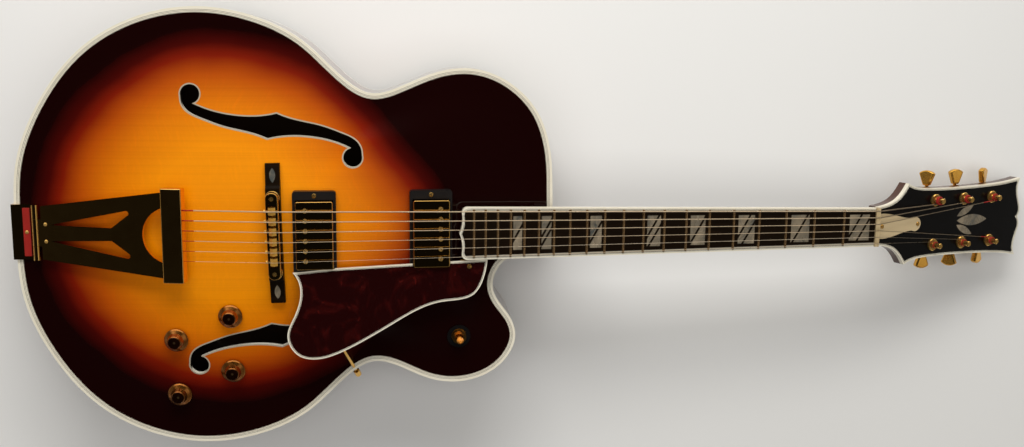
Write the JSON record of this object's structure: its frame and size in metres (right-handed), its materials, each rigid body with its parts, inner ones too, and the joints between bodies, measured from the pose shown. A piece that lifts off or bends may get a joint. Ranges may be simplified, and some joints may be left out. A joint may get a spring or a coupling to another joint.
{
  "type": "archtop guitar",
  "caption": "Hollow archtop electric guitar with a rounded cutaway, carved plates, f-holes, floating bridge, tailpiece, pickups, controls and machine heads.",
  "frame": {"origin": "on the end pin's axis where it meets the tail of the rim, half way up the rim", "axes": "+X along the centre line from the tail to the headstock, +Y to the bass side, +Z out of the face"},
  "size_m": [1.1334, 0.4637, 0.1492],
  "materials": {
    "sunburst_top": "high gloss lacquer, amber centre shading to dark maroon",
    "sunburst_rim": "high gloss lacquer over flamed maple",
    "neck_lacquer": "gloss lacquer over maple",
    "bare_wood": "unfinished",
    "ebony": "oiled, satin",
    "black_lacquer": "high gloss lacquer",
    "ivory_binding": "polished",
    "bone": "polished",
    "pearl": "polished",
    "tortoise": "polished, mottled",
    "black_plastic": "moulded",
    "knob_amber": "clear amber over gold paint",
    "gold": "polished gold plating",
    "fret_metal": "polished",
    "string_steel": "drawn and wound",
    "zinc": "plated"
  },
  "bodies": {
    "guitar": {"top_plate": "sunburst_top", "back_plate": "sunburst_rim", "bass_rib": "sunburst_rim", "treble_rib": "sunburst_rim", "neck": "neck_lacquer", "linings": "bare_wood", "tone_bars": "bare_wood", "end_blocks": "bare_wood", "fingerboard": "ebony", "bridge_base": "ebony", "headstock_veneer": "black_lacquer", "top_binding": "ivory_binding", "back_binding": "ivory_binding", "f_hole_bindings": "ivory_binding", "fingerboard_binding": "ivory_binding", "headstock_binding": "ivory_binding", "pickguard_binding": "ivory_binding", "heel_cap": "ivory_binding", "truss_rod_cover": "ivory_binding", "nut": "bone", "pearl_inlays": "pearl", "pickguard": "tortoise", "pickup_rings": "black_plastic", "tailpiece": "gold", "tailpiece_hinge": "gold", "end_pin": "gold", "bridge_posts": "gold", "neck_pickup": "gold", "bridge_pickup": "gold", "tuner_housings": "gold", "tuner_bushings": "gold", "pickguard_bracket": "gold", "screws": "gold", "switch_body": "gold", "output_jack": "gold", "frets": "fret_metal", "strings": "string_steel", "truss_rod": "zinc", "potentiometers": "zinc"},
    "machine_button_1": {"tuner_button_1": "gold"},
    "machine_button_2": {"tuner_button_2": "gold"},
    "machine_button_3": {"tuner_button_3": "gold"},
    "machine_button_4": {"tuner_button_4": "gold"},
    "machine_button_5": {"tuner_button_5": "gold"},
    "machine_button_6": {"tuner_button_6": "gold"},
    "machine_post_1": {"tuner_post_1": "gold"},
    "machine_post_2": {"tuner_post_2": "gold"},
    "machine_post_3": {"tuner_post_3": "gold"},
    "machine_post_4": {"tuner_post_4": "gold"},
    "machine_post_5": {"tuner_post_5": "gold"},
    "machine_post_6": {"tuner_post_6": "gold"},
    "neck_volume_control": {"neck_volume_knob": "knob_amber"},
    "bridge_volume_control": {"bridge_volume_knob": "knob_amber"},
    "neck_tone_control": {"neck_tone_knob": "knob_amber"},
    "bridge_tone_control": {"bridge_tone_knob": "knob_amber"},
    "selector": {"switch_lever": "gold"},
    "bridge_top": {"bridge_bar": "gold", "saddles": "gold"},
    "bass_wheel": {"bass_thumbwheel": "gold"},
    "treble_wheel": {"treble_thumbwheel": "gold"}
  },
  "joints": [
    {"name": "button_turn_1", "type": "hinge", "parent": "guitar", "child": "machine_button_1", "pos_m": [0.99201, -0.0255, -0.00936], "axis": [0, 1, 0], "continuous": true},
    {"name": "post_turn_1", "type": "hinge", "parent": "guitar", "child": "machine_post_1", "pos_m": [0.9932, -0.0255, 0.01154], "axis": [0.3173, 0, 0.9483], "continuous": true, "deforming": ["strings"]},
    {"name": "button_turn_2", "type": "hinge", "parent": "guitar", "child": "machine_button_2", "pos_m": [1.03297, -0.0255, -0.02306], "axis": [0, 1, 0], "continuous": true},
    {"name": "post_turn_2", "type": "hinge", "parent": "guitar", "child": "machine_post_2", "pos_m": [1.03417, -0.0255, -0.00216], "axis": [0.3173, 0, 0.9483], "continuous": true, "deforming": ["strings"]},
    {"name": "button_turn_3", "type": "hinge", "parent": "guitar", "child": "machine_button_3", "pos_m": [1.07394, -0.0255, -0.03677], "axis": [0, 1, 0], "continuous": true},
    {"name": "post_turn_3", "type": "hinge", "parent": "guitar", "child": "machine_post_3", "pos_m": [1.07513, -0.0255, -0.01587], "axis": [0.3173, 0, 0.9483], "continuous": true, "deforming": ["strings"]},
    {"name": "button_turn_4", "type": "hinge", "parent": "guitar", "child": "machine_button_4", "pos_m": [1.07394, 0.0255, -0.03677], "axis": [0, 1, 0], "continuous": true},
    {"name": "post_turn_4", "type": "hinge", "parent": "guitar", "child": "machine_post_4", "pos_m": [1.07513, 0.0255, -0.01587], "axis": [0.3173, 0, 0.9483], "continuous": true, "deforming": ["strings"]},
    {"name": "button_turn_5", "type": "hinge", "parent": "guitar", "child": "machine_button_5", "pos_m": [1.03297, 0.0255, -0.02306], "axis": [0, 1, 0], "continuous": true},
    {"name": "post_turn_5", "type": "hinge", "parent": "guitar", "child": "machine_post_5", "pos_m": [1.03417, 0.0255, -0.00216], "axis": [0.3173, 0, 0.9483], "continuous": true, "deforming": ["strings"]},
    {"name": "button_turn_6", "type": "hinge", "parent": "guitar", "child": "machine_button_6", "pos_m": [0.99201, 0.0255, -0.00936], "axis": [0, 1, 0], "continuous": true},
    {"name": "post_turn_6", "type": "hinge", "parent": "guitar", "child": "machine_post_6", "pos_m": [0.9932, 0.0255, 0.01154], "axis": [0.3173, 0, 0.9483], "continuous": true, "deforming": ["strings"]},
    {"name": "neck_volume_turn", "type": "hinge", "parent": "guitar", "child": "neck_volume_control", "pos_m": [0.2155, -0.0865, 0.05787], "axis": [-0.0273, -0.0976, 0.9948], "range_deg": [-150, 150]},
    {"name": "bridge_volume_turn", "type": "hinge", "parent": "guitar", "child": "bridge_volume_control", "pos_m": [0.159, -0.1125, 0.05244], "axis": [-0.069, -0.0949, 0.9931], "range_deg": [-150, 150]},
    {"name": "neck_tone_turn", "type": "hinge", "parent": "guitar", "child": "neck_tone_control", "pos_m": [0.2155, -0.147, 0.05042], "axis": [0.0013, -0.1359, 0.9907], "range_deg": [-150, 150]},
    {"name": "bridge_tone_turn", "type": "hinge", "parent": "guitar", "child": "bridge_tone_control", "pos_m": [0.159, -0.173, 0.0461], "axis": [-0.036, -0.1094, 0.9933], "range_deg": [-150, 150]},
    {"name": "selector_tilt", "type": "hinge", "parent": "guitar", "child": "selector", "pos_m": [0.45224, -0.11462, 0.04295], "axis": [0.9979, 0.0031, -0.064], "range_deg": [-14, 14]},
    {"name": "bridge_height", "type": "slide", "parent": "guitar", "child": "bridge_top", "axis": [0, 0, 1], "range_m": [-0.0015, 0.003], "deforming": ["strings"]},
    {"name": "bass_wheel_turn", "type": "hinge", "parent": "bridge_top", "child": "bass_wheel", "pos_m": [0.26269, 0.03849, 0.0715], "axis": [0, 0, 1], "range_deg": [-720, 1440]},
    {"name": "treble_wheel_turn", "type": "hinge", "parent": "bridge_top", "child": "treble_wheel", "pos_m": [0.26431, -0.03849, 0.0715], "axis": [0, 0, 1], "range_deg": [-720, 1440]}
  ],
  "couplings": [
    {"joint": "post_turn_1", "follows": "button_turn_1", "ratio": 0.066667},
    {"joint": "post_turn_2", "follows": "button_turn_2", "ratio": 0.066667},
    {"joint": "post_turn_3", "follows": "button_turn_3", "ratio": 0.066667},
    {"joint": "post_turn_4", "follows": "button_turn_4", "ratio": 0.066667},
    {"joint": "post_turn_5", "follows": "button_turn_5", "ratio": 0.066667},
    {"joint": "post_turn_6", "follows": "button_turn_6", "ratio": 0.066667},
    {"joint": "bass_wheel_turn", "follows": "bridge_height", "rad_per_m": 7854},
    {"joint": "treble_wheel_turn", "follows": "bridge_height", "rad_per_m": 7854}
  ]
}
